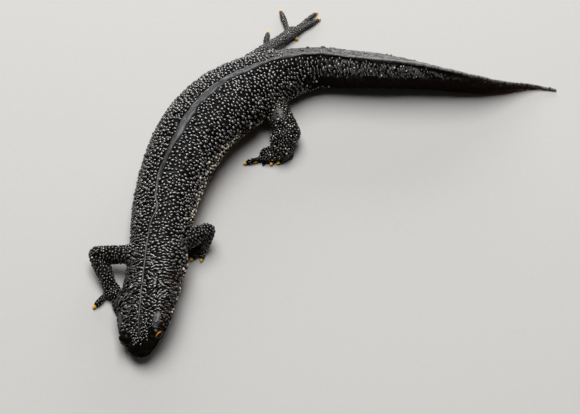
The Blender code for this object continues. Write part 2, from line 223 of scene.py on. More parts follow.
def bodyPlace(points):
    # the other way round: distance from the snout, offset to the left, offset up, angle in degrees, and
    # how far out the point lies as a share of the section's own outline
    chunk = 20000
    where = np.empty(len(points))
    for start in range(0, len(points), chunk):
        some = points[start:start + chunk, :2]
        gap = sum((some[:, None, k] - lineAt[None, ::2, k]) ** 2 for k in (0, 1))
        nearest = gap.argmin(1) * 2
        extra = np.sum((some - lineAt[nearest]) * lineAhead[nearest], 1)
        where[start:start + chunk] = lineFrom[nearest] + extra
    at, _, left = bodyFrame(where)
    lean = np.radians(bodyAt("lean", where))
    across = np.sum((points[:, :2] - at) * left, 1)
    height = points[:, 2] - np.interp(where, lineFrom, liftTable)
    lateral = across * np.cos(lean) + height * np.sin(lean)
    vertical = height * np.cos(lean) - across * np.sin(lean)
    tall = bodyAt("tall", where)
    above = bodyAt("above", where)
    size = np.where(vertical > 0, tall * above, tall * (1 - above))
    power = bodyAt("squareness", where)
    sideShare = np.abs(lateral) / bodyAt("half", where)
    riseShare = np.abs(vertical) / size
    share = (sideShare ** power + riseShare ** power) ** (1 / power)
    angle = np.arctan2(np.sign(lateral) * sideShare ** (power / 2),
                       np.sign(vertical) * riseShare ** (power / 2))
    return where, lateral, vertical, np.degrees(angle), share


# meshes from arrays
def makeMesh(name, points, *faceSets):
    sizes = np.concatenate([np.full(len(faces), faces.shape[1]) for faces in faceSets])
    corners = np.concatenate([faces.ravel() for faces in faceSets])
    mesh = bpy.data.meshes.new(name)
    mesh.vertices.add(len(points))
    mesh.vertices.foreach_set("co", np.asarray(points, np.float32).ravel())
    mesh.loops.add(len(corners))
    mesh.loops.foreach_set("vertex_index", corners.astype(np.int32))
    mesh.polygons.add(len(sizes))
    mesh.polygons.foreach_set("loop_start", (np.cumsum(sizes) - sizes).astype(np.int32))
    mesh.update(calc_edges=True)
    mesh.validate()
    return mesh


def makeObject(name, mesh):
    made = bpy.data.objects.new(name, mesh)
    scene.collection.objects.link(made)
    return made


def tubeFaces(count, around, startMiddle, endMiddle):
    # quads between neighbouring rings, then triangles from the first and the last ring to their middles
    i, j = np.meshgrid(np.arange(count - 1), np.arange(around), indexing="ij")
    k = (j + 1) % around
    quads = np.stack([i * around + j, i * around + k, (i + 1) * around + k, (i + 1) * around + j], -1)
    j = np.arange(around)
    k = (j + 1) % around
    last = (count - 1) * around
    start = np.stack([k, j, np.full(around, startMiddle)], -1)
    end = np.stack([last + j, last + k, np.full(around, endMiddle)], -1)
    return quads.reshape(-1, 4), start, end


def closedGrid(rows):
    # rows of a tube, each a ring; both ends are closed with a fan to the middle of the end ring
    count, around = rows.shape[:2]
    points = np.concatenate([rows.reshape(-1, 3), [rows[0].mean(0)], [rows[-1].mean(0)]])
    quads, start, end = tubeFaces(count, around, count * around, count * around + 1)
    return points, quads, np.concatenate([start, end])


def joinShells(name, shells):
    # several closed grids as one mesh, each still its own shell
    starts = np.cumsum([0] + [len(points) for points, _, _ in shells[:-1]])
    points = np.concatenate([shell[0] for shell in shells])
    quads = np.concatenate([shell[1] + start for shell, start in zip(shells, starts)])
    fans = np.concatenate([shell[2] + start for shell, start in zip(shells, starts)])
    return makeMesh(name, points, quads, fans)


def readVectors(values, name):
    # one vector for each vertex, as the rows of an array
    flat = np.empty(len(values) * 3, np.float32)
    values.foreach_get(name, flat)
    return flat.reshape(-1, 3).astype(float)


def meshPoints(mesh):
    return readVectors(mesh.vertices, "co")


def meshNormals(mesh):
    return readVectors(mesh.vertex_normals, "vector")


def meshCorners(mesh):
    corners = np.empty(len(mesh.loops), np.int32)
    mesh.loops.foreach_get("vertex_index", corners)
    return corners


def setPoints(mesh, points):
    mesh.vertices.foreach_set("co", np.asarray(points, np.float32).ravel())
    mesh.update()


def applyModifiers(made):
    graph = bpy.context.evaluated_depsgraph_get()
    mesh = bpy.data.meshes.new_from_object(made.evaluated_get(graph))
    old = made.data
    made.modifiers.clear()
    made.data = mesh
    bpy.data.meshes.remove(old)
    return mesh


def noiseAt(points, size, seed):
    # value noise: random numbers on a cubic lattice, blended smoothly between corners, from -1 to 1; the
    # large whole numbers only mix a corner's place and the seed
    place = points / size
    cell = np.floor(place).astype(np.int64)
    t = place - cell
    t = t * t * (3 - 2 * t)
    total = np.zeros(len(points))
    for corner in np.ndindex(2, 2, 2):
        key = cell + np.array(corner)
        mixed = key[:, 0] * 73856093 ^ key[:, 1] * 19349663 ^ key[:, 2] * 83492791 ^ seed * 7919
        mixed = (mixed ^ (mixed >> 13)) * 1274126177 & 0xffffffff
        mixed = (mixed ^ (mixed >> 16)) & 0xffff
        total += np.prod(np.where(corner, t, 1 - t), 1) * (mixed / 32767.5 - 1)
    return total


# legs
legForm = {
    "digitRadius": 0.56,
    # along each digit: share of its length, height, share of digitRadius
    "digitShape": ((0.0, 0.85, 1.05), (0.35, 0.78, 0.86), (0.55, 0.74, 0.98), (0.8, 0.58, 0.80),
                   (1.0, 0.44, 0.62)),
    "digitFlat": 0.92, "palmFlat": 0.62,                 # height of a section against its width
    "tipHeight": 0.42,
    "inset": 0.12,
    # floor place, height and radius at each joint; floor places of each digit's root and tip
    "legs": {
        "rightFore": {
            "root": (-37.92, -22.41, 4.90, 2.00), "bend": (-46.32, -21.51, 3.30, 1.85),
            "calf": (-45.11, -24.43, 2.48, 1.70), "wrist": (-44.12, -26.81, 1.80, 1.45),
            "palm": (-43.22, -28.51, 1.10, 1.75),
            "digits": ((-44.32, -29.01, -46.72, -31.81), (-43.12, -29.31, -42.22, -33.21),
                       (-42.72, -29.31, -41.12, -32.11), (-42.52, -28.51, -40.62, -29.71)),
        },
        "leftFore": {
            "root": (-29.22, -19.11, 4.90, 1.95), "bend": (-24.92, -16.51, 4.20, 1.75),
            "calf": (-25.25, -17.39, 2.83, 1.53), "wrist": (-25.52, -18.11, 1.70, 1.25),
            "palm": (-26.32, -18.51, 1.00, 1.45),
            "digits": ((-25.52, -18.71, -26.02, -20.91), (-26.52, -19.11, -28.02, -20.71),
                       (-26.92, -18.81, -29.32, -20.11), (-26.92, -18.41, -29.62, -18.51)),
        },
        "leftHind": {
            "root": (-13.22, 18.49, 5.20, 2.50), "bend": (-8.57, 8.69, 3.20, 2.50),
            "calf": (-9.70, 7.25, 2.75, 2.80), "wrist": (-10.02, 5.39, 2.00, 2.20),
            "palm": (-12.62, 4.89, 1.10, 1.85),
            "digits": ((-13.72, 4.29, -17.72, 3.09), (-13.92, 4.49, -15.52, 3.49),
                       (-12.92, 4.29, -13.82, 2.99), (-11.72, 4.29, -12.22, 2.79),
                       (-8.22, 4.99, -10.87, 3.09)),
        },
        "rightHind": {
            "root": (-17.92, 21.49, 4.40, 2.30), "bend": (-16.92, 28.09, 2.50, 1.75),
            "calf": (-15.10, 30.07, 2.23, 1.65), "wrist": (-13.62, 31.69, 2.00, 1.45),
            "palm": (-7.92, 37.49, 1.10, 1.45),
            "digits": ((-13.82, 32.69, -13.02, 38.19), (-8.72, 38.09, -10.42, 44.19),
                       (-7.12, 38.29, -2.52, 43.59), (-6.72, 37.89, -1.92, 41.79),
                       (-8.12, 36.89, -6.82, 36.19)),
        },
    },
}


def tubeAlong(places, sides=28, squash=1.0, spacing=0.3):
    # circles carried along a smooth line, flattened by squash, both ends rounded off
    places = np.array(places, float)
    reach = np.concatenate([[0.0], np.cumsum(lengthOf(np.diff(places[:, :3], axis=0)))])
    where = np.linspace(0.0, reach[-1], max(4, int(reach[-1] / spacing)))
    line = np.stack([smoothBetween(reach, places[:, k], where) for k in range(4)], 1)
    ahead = unit(np.gradient(line[:, :3], axis=0))
    swing = np.radians((12, 30, 48, 64, 78))
    front = line[0, :3] - ahead[0] * line[0, 3] * np.cos(swing)[:, None]
    back = line[-1, :3] + ahead[-1] * line[-1, 3] * np.cos(swing[::-1])[:, None]
    middles = np.concatenate([front, line[:, :3], back])
    radii = np.concatenate([line[0, 3] * np.sin(swing), line[:, 3], line[-1, 3] * np.sin(swing[::-1])])
    ends = len(swing)
    facing = np.concatenate([np.repeat(ahead[:1], ends, 0), ahead, np.repeat(ahead[-1:], ends, 0)])
    side = unit(np.cross(facing, (0.0, 0.0, 1.0)))
    up = np.cross(side, facing)
    turn = np.linspace(0, 2 * np.pi, sides, endpoint=False)
    rows = (middles[:, None] + radii[:, None, None]
            * (np.cos(turn)[:, None] * side[:, None] + squash * np.sin(turn)[:, None] * up[:, None]))
    rows[..., 2] = np.maximum(rows[..., 2], 0.02)
    return rows


def legParts(leg):
    # upper length, lower length, palm, then each digit with a knuckle and a narrower tip
    inset = np.array((0.0, 0.0, 0.0, legForm["inset"]))
    joints = ("root", "bend", "calf", "wrist", "palm")
    root, bend, calf, wrist, palm = (np.array(leg[joint]) - inset for joint in joints)
    middle = (root + bend) / 2 * (1, 1, 1.04, 1)
    onward = palm - wrist
    beyond = palm + onward * (0.25, 0.25, 0, 0) / max(0.4, np.linalg.norm(onward[:2]))
    tubes = [
        (np.array([root, middle, bend]), 1.0), (np.array([bend, calf, wrist]), 1.0),
        (np.array([wrist, (wrist + palm) / 2, palm, beyond]), legForm["palmFlat"]),
    ]
    shares, heights, widths = np.array(legForm["digitShape"]).T
    tips = []
    for startX, startY, tipX, tipY in leg["digits"]:
        start, tip = np.array((startX, startY)), np.array((tipX, tipY))
        spots = start + shares[:, None] * (tip - start)
        digit = np.column_stack([spots, heights, widths * legForm["digitRadius"]])
        tubes.append((digit, legForm["digitFlat"]))
        tips.append((*tip, legForm["tipHeight"]))
    return tubes, np.array(tips)


legTubes, toeTips = {}, []
for legName, leg in legForm["legs"].items():
    legTubes[legName], tips = legParts(leg)
    toeTips.append(tips)
toeTips = np.concatenate(toeTips)
paleTips = np.delete(toeTips, (1, 10), axis=0)       # two digits are dark to their ends

# one skin over everything
skinForm = {
    "voxel": 0.15,
    "faceLimit": 194000,             # triangles left after thinning
    "evenRounds": 5,                 # rounds of smoothing all over
    "junctionRounds": 30,            # and more of them where the legs leave the body
    "headEnd": (12, 20),             # the head keeps most of its faces as far as this,
    "headWeight": 0.004,             # by a weight of this strength
    "eyeFrom": 3.10, "eyeSide": 3.14, "eyeRise": 0.75, "eyeRadius": 1.3,
    "gaze": (0.66, -0.05, 0.64),     # outward, upward, forward
    "lidThick": 0.13,
    "nostril": (0.25, 58.0),         # from the snout, angle from the mid-back
    "mouthFrom": -0.10, "mouthSlope": -0.055, "mouthCorner": 8.6,
}


def bodyShell():
    # rings from the rounded snout to the tail tip
    reach = bodyForm["snoutRound"]
    front = -reach * np.cos(np.radians((8, 22, 36, 50, 64, 78)))
    rows = np.concatenate([front, np.arange(0.0, 20.0, 0.2),
                           np.arange(20.0, bodyForm["length"] + 0.01, 0.35)])
    half = bodyAt("half", np.maximum(rows, 0))
    inset = bodyForm["coatDepth"] * np.clip(half / 1.6, 0.25, 1.0)
    inset = inset * (0.35 + 0.65 * ease(1.0, 7.0, rows)) * (1 - 0.6 * ease(112.0, 124.0, rows))
    angle = np.linspace(0, 2 * np.pi, 120, endpoint=False)
    return bodySurface(rows[:, None], angle[None, :], -inset[:, None])


shells = [closedGrid(bodyShell())]
for tubes in legTubes.values():
    shells += [closedGrid(tubeAlong(places, squash=squash)) for places, squash in tubes]
skin = makeObject("skin", joinShells("skin", shells))
remesh = skin.modifiers.new("oneSkin", "REMESH")
remesh.mode = "VOXEL"
remesh.voxel_size = skinForm["voxel"]
mesh = applyModifiers(skin)
print("skin joined:", len(mesh.vertices), "vertices")


def smoothPoints(mesh, points, weight, rounds):
    # each point moves towards the mean of its neighbours, by its weight
    ends = np.empty(len(mesh.edges) * 2, np.int32)
    mesh.edges.foreach_get("vertices", ends)
    ends = ends.reshape(-1, 2)
    count = np.maximum(np.bincount(ends.ravel(), minlength=len(points)), 1)
    for _ in range(rounds):
        for k in range(3):
            total = np.bincount(ends[:, 0], points[ends[:, 1], k], len(points))
            total += np.bincount(ends[:, 1], points[ends[:, 0], k], len(points))
            points[:, k] += weight * (total / count - points[:, k])
    return points


def nearestOn(points, a, b):
    # the nearest place on the straight length from a to b: its share of the way, the offset from it,
    # and the distance as a share of the tube's radius there
    run = b[:3] - a[:3]
    t = np.clip(((points - a[:3]) @ run) / max(run @ run, 1e-9), 0, 1)
    offset = points - a[:3] - t[:, None] * run
    return t, offset, lengthOf(offset) / (a[3] + t * (b[3] - a[3]))


def legShare(points):
    # distance to the nearest leg tube's own line, as a share of its radius there
    far, margin = 9.0, 4.5
    best = np.full(len(points), far)
    for tubes in legTubes.values():
        for places, _ in tubes:
            low, high = places[:, :3].min(0) - margin, places[:, :3].max(0) + margin
            near = np.flatnonzero(((points > low) & (points < high)).all(1))
            for a, b in zip(places[:-1], places[1:]):
                best[near] = np.minimum(best[near], nearestOn(points[near], a, b)[2])
    return best


def legMark(share, fromLeg, reach=1.7):
    # 1 on the legs, 0 on the body, with a short blend between
    return ease(1.04, 1.16, share) * (fromLeg < reach)


points = meshPoints(mesh)
share = bodyPlace(points)[-1]
fromLeg = legShare(points)
onLeg = legMark(share, fromLeg)
junction = bell(share, 1.0, 0.16) * bell(fromLeg, 1.0, 0.45)
points = smoothPoints(mesh, points, 0.5, skinForm["evenRounds"])
points = smoothPoints(mesh, points, 0.9 * ease(0.1, 0.6, junction), skinForm["junctionRounds"])
setPoints(mesh, points)


# folds, lids, mouth
def eyeFrame(side):
    # centre of the eyeball, direction it looks, direction up its face, direction to the snout
    at = placeSection(np.array([skinForm["eyeFrom"]]), np.array([side * skinForm["eyeSide"]]),
                      np.array([skinForm["eyeRise"]]))[0]
    _, ahead, left = bodyFrame(skinForm["eyeFrom"])
    tilt = np.radians(bodyAt("lean", skinForm["eyeFrom"]))
    out = np.array([*(left * np.cos(tilt)), np.sin(tilt)]) * side
    up = np.array([*(-left * np.sin(tilt)), np.cos(tilt)])
    forward = -np.array([*ahead, 0.0])
    outward, upward, onward = skinForm["gaze"]
    gaze = unit(outward * out + upward * up + onward * forward)
    front = unit(forward - gaze * (forward @ gaze))
    top = np.cross(gaze, front) * side
    top = top * np.sign(top @ up)
    return at, gaze, top, front


eyes = {"left": eyeFrame(1), "right": eyeFrame(-1)}


def nostrilPlace(side):
    where, angle = skinForm["nostril"]
    return bodySurface(np.array([where]), np.array([side * math.radians(angle)]))[0]


def mouthLine(where):
    # height of the mouth's line in the section
    return skinForm["mouthFrom"] + skinForm["mouthSlope"] * np.maximum(where, 0)


# the smooth band down the back
bandForm = {
    # distance from the snout, half width: widest over the hind part of the trunk
    "half": ((5, 0.10), (14, 0.12), (24, 0.14), (30, 0.17), (34, 0.22), (38, 0.40), (44, 0.64), (50, 0.80),
             (58, 0.90), (64, 0.78), (70, 0.52), (76, 0.34), (90, 0.22), (105, 0.16)),
    "ragged": 0.36,                  # how far the warts eat into its edges, as a share of its half width
    "kink": 0.95,                    # how far it swings out to the left over the shoulders
}


def bandEdge(points, where):
    half = np.interp(where, *np.array(bandForm["half"]).T)
    return half * (1 + bandForm["ragged"] * noiseAt(points, 1.3, 15))


def bandOffset(points, where, lateral):
    # distance from the band's own wavering middle, which lies a little to the left of the ridge
    waver = 0.26 * noiseAt(points, 3.4, 13) * ease(16, 34, where) + 0.12 * noiseAt(points, 1.1, 14)
    return lateral - 0.32 * bell(where, 47, 9) - bandForm["kink"] * bell(where, 29.6, 2.3) + waver


def bandGap(points, where, lateral):
    # distance outside the band's edges, below 0 on the band itself
    return np.abs(bandOffset(points, where, lateral)) - bandEdge(points, where)


def bandCreaseShade(points, where, lateral):
    # painted shade: the thin crease along the band's left edge, painted black
    gap = bandOffset(points, where, lateral) - bandEdge(points, where)
    return bell(gap, 0.13, 0.085) * within(34, 42, 62, 72, where)


def glandShape(points, where, angle):
    # the smooth oval pad behind each eye, ragged at its edge; the head's turn sets them apart a little
    left = bell(where, 5.2, 1.9) * bell(angle, 42, 14)
    right = bell(where, 6.1, 2.0) * bell(angle, -51, 14)
    return ease(0.34, 0.66, (left + right) * (1 + 0.22 * noiseAt(points, 0.9, 18)))


def wrinkleField(where, lateral, vertical):
    # short branching ridges that run mostly across the body, about 0.8 mm apart
    place = np.column_stack([where * 1.6, lateral, vertical])
    ridge = 1 - 2.4 * np.abs(noiseAt(place + 0.25 * noiseAt(place, 1.1, 32)[:, None], 0.80, 31))
    return np.clip(ridge, -0.8, 1.0)


reliefForm = {                       # heights and depths in mm
    "swell": 0.07, "grain": 0.035,
    "band": 0.13, "bandRim": 0.12, "ridgeDown": 0.26, "bandCrease": 0.30, "acrossBand": 0.05,
    "shoulderCrease": 0.22,
    "labyrinth": 0.20, "neckWrinkle": 0.13, "throatRoll": 0.30, "throatFold": 0.45, "jawFold": 0.16,
    "gland": 0.13, "glandBumps": 0.05, "cheekFold": 0.13, "mouth": 0.30, "lip": 0.11,
    "browRidge": 0.10, "snoutHollow": 0.12, "nostrilRim": 0.10, "nostril": 0.34,
    "ribs": 0.10, "vent": 0.35, "ventSlit": 0.45,
    "tailMuscles": 0.07, "tailEdge": 0.17, "crest": 0.10, "crestRipple": 0.10, "crestGroove": 0.14,
}


def bandRelief(points, where, lateral):
    # the ridge flattened, a rim and a deep crease along the band's left edge, fine creases across it,
    # and one along its middle over the shoulders
    form = reliefForm
    band = bandEdge(points, where)
    middle = bandOffset(points, where, lateral)
    broad = within(36, 46, 66, 74, where)
    flat = fall(band * 0.75, band + 0.15, np.abs(middle))
    relief = form["band"] * flat - form["bandRim"] * bell(np.abs(middle), band + 0.24, 0.15)
    relief -= form["ridgeDown"] * broad * bell(lateral, 0.0, 0.62)
    relief -= form["bandCrease"] * ease(30, 42, where) * bell(middle, band + 0.12, 0.15)
    relief -= form["acrossBand"] * broad * flat * bell(noiseAt(points, 1.5, 16), 0.0, 0.16)
    relief -= form["shoulderCrease"] * within(28, 33, 38, 44, where) * bell(middle, 0.0, 0.30)
    return relief * within(2.6, 4.6, 96, 108, where)


def headRelief(points, where, lateral, vertical, angle, share):
    form = reliefForm
    away = np.abs(angle)
    # labyrinth of small ridges on head, neck and shoulders, beside the band and the glands
    pad = glandShape(points, where, angle)
    coarse = bell(where, 10.5, 9.0) * ease(0.6, 2.0, where) * fall(100, 122, away)
    coarse = coarse * ease(0.0, 0.35, bandGap(points, where, lateral))
    relief = form["labyrinth"] * wrinkleField(where, lateral, vertical) * coarse * (1 - pad)
    # wrinkles across the neck, behind the glands
    wobble = 0.55 * noiseAt(points, 2.0, 7) + 0.25 * noiseAt(points, 0.9, 8) + 0.012 * away
    wave = 0.5 + 0.5 * np.cos(2 * np.pi * (where + wobble) / 1.3)
    broken = ease(-0.35, 0.25, noiseAt(points * (1.0, 1.0, 0.6), 1.7, 9))
    neck = bell(where, 12.8, 3.0) * fall(110, 140, away) * ease(0.2, 1.0, np.abs(lateral))
    relief -= form["neckWrinkle"] * wave ** 3 * neck * broken
    # the throat's own fold and the fainter one behind the jaw
    throat = form["throatRoll"] * bell(where, 13.2, 0.7) - form["throatFold"] * bell(where, 14.3, 0.45)
    relief += throat * ease(75, 105, away)
    relief -= form["jawFold"] * ease(60, 90, away) * bell(where + 0.02 * (away - 90), 10.6, 0.5)
    # glands behind the eyes, flat on top, and the fold below them
    relief += (form["gland"] + form["glandBumps"] * noiseAt(points, 0.7, 19)) * pad
    relief -= form["cheekFold"] * bell(where, 7.2, 2.6) * bell(away, 76, 5)
    # mouth line and the lip above it, as far as the corner of the mouth
    line, corner = mouthLine(where), skinForm["mouthCorner"]
    inMouth = fall(corner - 0.5, corner + 0.6, where) * ease(0.55, 0.8, share)
    relief -= form["mouth"] * inMouth * bell(vertical, line - 0.04, 0.14)
    relief += form["lip"] * inMouth * bell(vertical, line + 0.42, 0.26)
    # ridge from the nostril over the eye, the hollow between the two ridges, the nostrils
    relief += form["browRidge"] * bell(away, 46, 7) * within(0.4, 1.6, 5.5, 7.0, where)
    hollow = bell(lateral, 0.0, 1.3) * bell(where, 2.6, 1.5) * ease(0.0, 0.5, vertical)
    relief -= form["snoutHollow"] * hollow
    for side in (-1, 1):
        gap = lengthOf(points - nostrilPlace(side))
        relief += form["nostrilRim"] * bell(gap, 0.36, 0.14) - form["nostril"] * bell(gap, 0.0, 0.19)
    return relief


def trunkRelief(where, lateral, away):
    # ribs' faint grooves down the flanks, and the vent under the tail root
    form = reliefForm
    ribs = (0.5 + 0.5 * np.cos(2 * np.pi * (where - 27) / 3.8)) ** 6
    grooves = form["ribs"] * ribs * within(24, 30, 66, 72, where) * bell(away, 95, 38)
    vent = form["vent"] * bell(where, 78.5, 2.6)
    vent = vent - form["ventSlit"] * bell(lateral, 0.0, 0.22) * bell(where, 78.5, 1.9)
    return vent * ease(150, 168, away) - grooves


def tailRelief(points, where, lateral, vertical, away):
    # muscle lengths bent like chevrons, the lower edge brought down to where it rests, and the crest's
    # wavering edge over a groove
    form = reliefForm
    muscles = (0.5 + 0.5 * np.cos(2 * np.pi * (where + 0.4 * np.abs(vertical)) / 2.6)) ** 4
    relief = form["tailEdge"] * ease(148, 170, away) * within(80, 88, 120, 128, where)
    relief -= form["tailMuscles"] * muscles * within(84, 92, 112, 124, where)
    ripple = form["crest"] + form["crestRipple"] * noiseAt(points, 1.6, 17)
    crest = ripple * bell(lateral, 0.0, 0.55) - form["crestGroove"] * bell(np.abs(lateral), 0.95, 0.28)
    return relief + crest * within(78, 86, 118, 128, where) * ease(0.0, 0.5, vertical)


def skinRelief(points, where, lateral, vertical, angle, share, onLeg):
    # heights along the surface's own direction: a fine swell all over, and the body's folds and ridges
    away = np.abs(angle)
    folds = bandRelief(points, where, lateral) * ease(0.0, 0.5, vertical)
    folds += headRelief(points, where, lateral, vertical, angle, share)
    folds += trunkRelief(where, lateral, away) + tailRelief(points, where, lateral, vertical, away)
    swell = reliefForm["swell"] * noiseAt(points, 2.6, 3) + reliefForm["grain"] * noiseAt(points, 1.1, 5)
    return swell + (1 - onLeg) * folds


lidForm = {
    "half": 1.08,                    # half length of the opening
    "upper": {"left": 0.94, "right": 0.50},
    "lower": 0.66,
    "rim": 0.08, "furrow": 0.10,     # height of the lids' rims, depth of the furrow round them
    "socket": 0.62,                  # where the skin lies behind the eyeball, as a share of its radius
    "reach": 3.4,                    # the skin is an eye's own as far as this from its centre
}


def lidOpening(points, side):
    # 0 at the middle of the opening, 1 at the lids' edges, and whether the point is near that eye
    at, gaze, top, front = eyes[side]
    offset = points - at
    a, b, h = offset @ front, offset @ top, offset @ gaze
    reach = np.where(b > 0, lidForm["upper"][side], lidForm["lower"])
    opening = np.sqrt((a / lidForm["half"]) ** 2 + (b / reach) ** 2)
    return opening, (lengthOf(offset) < lidForm["reach"]) & (h > -0.4)


def shapeLids(points, side):
    # the skin runs over the eyeball as two lids; inside the opening it drops behind the eyeball
    at, gaze = eyes[side][:2]
    offset = points - at
    radius = lengthOf(offset)
    opening, near = lidOpening(points, side)
    out = unit(offset)
    ball = skinForm["eyeRadius"]
    lid = ball + skinForm["lidThick"] + lidForm["rim"] * bell(opening, 1.15, 0.16)
    lid = lid - lidForm["furrow"] * bell(opening, 1.75, 0.20)
    drape = near * fall(1.7, 2.5, opening)
    wanted = at + out * np.maximum(lid, radius * (1 - drape) + lid * drape)[:, None]
    draped = points + drape[:, None] * (wanted - points)
    points = np.where((near & (opening > 0.9))[:, None], draped, points)
    sunk = at + out * (lidForm["socket"] * ball)
    inside = (near & (offset @ gaze > 0)) * fall(0.90, 1.02, opening)
    return points + inside[:, None] * (sunk - points)


normals = meshNormals(mesh)
where, lateral, vertical, angle, share = bodyPlace(points)
relief = skinRelief(points, where, lateral, vertical, angle, share, onLeg)
points = points + relief[:, None] * normals
for side in eyes:
    points = shapeLids(points, side)
points[:, 2] = np.maximum(points[:, 2], 0.0)
setPoints(mesh, points)
coarser = skin.vertex_groups.new(name="coarser")       # weights for how many faces each place loses
levels = 4
shareOfLoss = np.where(fromLeg < 1.2, 0.9, ease(*skinForm["headEnd"], where))
for level in range(levels + 1):
    members = np.flatnonzero(np.round(shareOfLoss * levels) == level)
    coarser.add(members.tolist(), level / levels, "REPLACE")
reduce = skin.modifiers.new("fewerFaces", "DECIMATE")
reduce.vertex_group = coarser.name
reduce.vertex_group_factor = skinForm["headWeight"]
reduce.ratio = min(1.0, skinForm["faceLimit"] / (2 * len(mesh.polygons)))
reduce.use_collapse_triangulate = True
mesh = applyModifiers(skin)
print("skin shaped:", len(mesh.polygons), "faces")


# markings, the same on skin and warts
thighPatch = np.array((-11.1, 11.8, 6.3))            # bare patch on top of the left thigh


def addValue(mesh, name, values):
    layer = mesh.attributes.new(name, "FLOAT", "POINT")
    layer.data.foreach_set("value", np.asarray(values, np.float32))


def crestShade(where, lateral, vertical):
    # the dark line under the left edge of the tail's crest
    return bell(lateral, 0.52, 0.21) * (vertical > 0) * within(78, 84, 110, 120, where)


def markings(points):
    # what the colours follow, from 0 to 1 at each point
    where, lateral, vertical, angle, share = bodyPlace(points)
    away, rise = np.abs(angle), vertical / bodyAt("tall", where)
    leg = legMark(share, legShare(points), 1.9)
    body = 1 - leg
    toe = np.min([lengthOf(points - tip) for tip in paleTips], 0)
    low = ease(128, 140, away + 7 * noiseAt(points, 1.6, 21))
    edge = np.maximum(ease(150, 172, away) * ease(70, 77, where),
                      bell(lateral, 0.0, 0.5) * (vertical < 0) * ease(80, 90, where))
    # the band, slate grey that is partly painted sheen, paler on the neck and at its kink, darker where it
    # widens
    stripe = fall(-0.12, 0.12, bandGap(points, where, lateral)) * within(2, 4, 96, 106, where)
    pale = 1 - 0.75 * bell(where, 41, 4.2) + 0.3 * bell(where, 32, 3.5) + 0.7 * fall(18, 30, where)
    stripe = stripe * (vertical > 0) * body * pale * (1 + 0.35 * noiseAt(points, 1.4, 51))
    gland = glandShape(points, where, angle) * body
    thigh = fall(0.9, 2.2, lengthOf(points - thighPatch)) * leg
    rim = np.zeros(len(points))
    for side in eyes:
        opening, near = lidOpening(points, side)
        rim = np.maximum(rim, near * bell(opening, 1.12, 0.22))
    tail = ease(82, 92, where) * body
    # the far side, facing up and away: grey specks are painted there as sheen
    farSide = ease(70, 78, where) * ease(0.18, 0.34, rise) * body + 0.7 * leg * (where > 45)
    # painted shadow under the crest's edge and painted shade in the band's crease, both painted black
    dark = np.maximum(crestShade(where, lateral, vertical), bandCreaseShade(points, where, lateral))
    return {
        "belly": low * within(16, 22, 74, 79, where) * body,
        "throat": ease(104, 122, away) * fall(15, 19, where) * body,
        "tailEdge": edge * body,
        "toeTip": fall(0.36, 0.68, toe),
        "smooth": np.maximum(np.maximum(stripe, 1.5 * gland), thigh),
        # flanks, reaching up the head's left side: there the warts' painted highlight is weaker, a painted
        # shade on the slope facing away from the light
        "flank": ease(62, 105, away + 34 * fall(18, 28, where)) * body,
        "leg": leg,
        "tail": tail,
        "tailTop": tail * ease(0.18, 0.32, rise) * fall(106, 118, where),
        "tailFar": farSide * (lateral < 0),
        "crest": bell(lateral, 0.0, 0.30) * (vertical > 0) * ease(84, 100, where) * body,
        "lidRim": rim,
        "shade": dark * body,
        "snout": fall(0.5, 2.2, where) * body,
    }


points = meshPoints(mesh)
for name, values in markings(points).items():
    addValue(mesh, name, values)

# warts
wartForm = {
    "seed": 11,
    "candidatesPerArea": 40.0,       # random places tried on each square mm
    # distance from the snout, least spacing between warts, how much closer they stand along the
    # body than across it, how much longer across than along
    "spacing": ((0, 0.36, 1.0, 1.0), (3, 0.45, 1.1, 1.3), (7, 0.58, 1.25, 1.9), (12, 0.68, 1.35, 2.2),
                (18, 0.68, 1.25, 1.8), (26, 0.62, 1.0, 1.25), (40, 0.66, 1.0, 1.2), (76, 0.64, 1.0, 1.15),
                (90, 0.56, 1.0, 1.6), (104, 0.46, 1.0, 1.5), (135, 0.40, 1.0, 1.0)),
    # cream warts: share of them, angle from the mid-back, its spread, and where the row starts and ends
    "creamRows": ((0.75, 95, 11, 26, 33, 52, 60), (0.85, 106, 18, 68, 73, 86, 92),
                  (0.45, 104, 12, 52, 60, 68, 73), (0.70, 100, 8, 4, 6, 18, 24)),
    "legSpacing": 0.50,
    "footShare": 0.72,               # spacing on hands and feet against the legs higher up
    "creamShare": 0.80,              # spacing of cream warts against dark ones
    # bare room beside the band, the mouth's line, each eye, the digits' tips and the floor, in mm, and
    # round the lids as a share of their opening
    "room": {"band": 0.20, "mouth": 0.34, "eye": 1.75, "tip": 1.0, "floor": 0.35, "lids": 1.9},
    "radiusShare": 0.55,             # of the spacing
    "heightShare": 1.00,             # of the radius
    # least and most of the random factors
    "spacingScatter": (0.76, 1.22), "radiusScatter": (0.88, 1.12), "heightScatter": (0.85, 1.15),
    "stretchScatter": (0.7, 1.3), "creamScatter": (0.55, 1.0), "rimScatter": 0.13,
    "legHeight": 0.75,               # height of leg warts against body ones, less still on the far one
    "lowering": 0.20,                # how much lower a wart is for each width that it is drawn out
    "creamOnLegs": 0.72, "creamOnTail": 0.80,            # radius of the cream ones there
    "legTone": 0.45,                 # how pale leg warts may be: the painted highlight on their tops, and their brown
    "headSwing": 0.9, "turnScatter": 0.25,               # how far long warts turn out of line
    "sides": 9,
    "profile": ((1.10, -0.38), (0.88, 0.40), (0.53, 0.85)),   # share of radius, share of height
    "crown": 1.0, "sunk": -0.45,     # heights of the top and of the point below, as shares too
    "bluntness": 0.8,                # power that makes a long wart's ends blunt
    "bend": 0.8,                     # how far a long wart's ends bend, at the widest scatter
    "drape": 9.0,                    # a wart's outer parts drop by the squared distance over this
    "patch": 0.003,                  # width of one wart's place on the unwrap
}
rng = np.random.default_rng(wartForm["seed"])


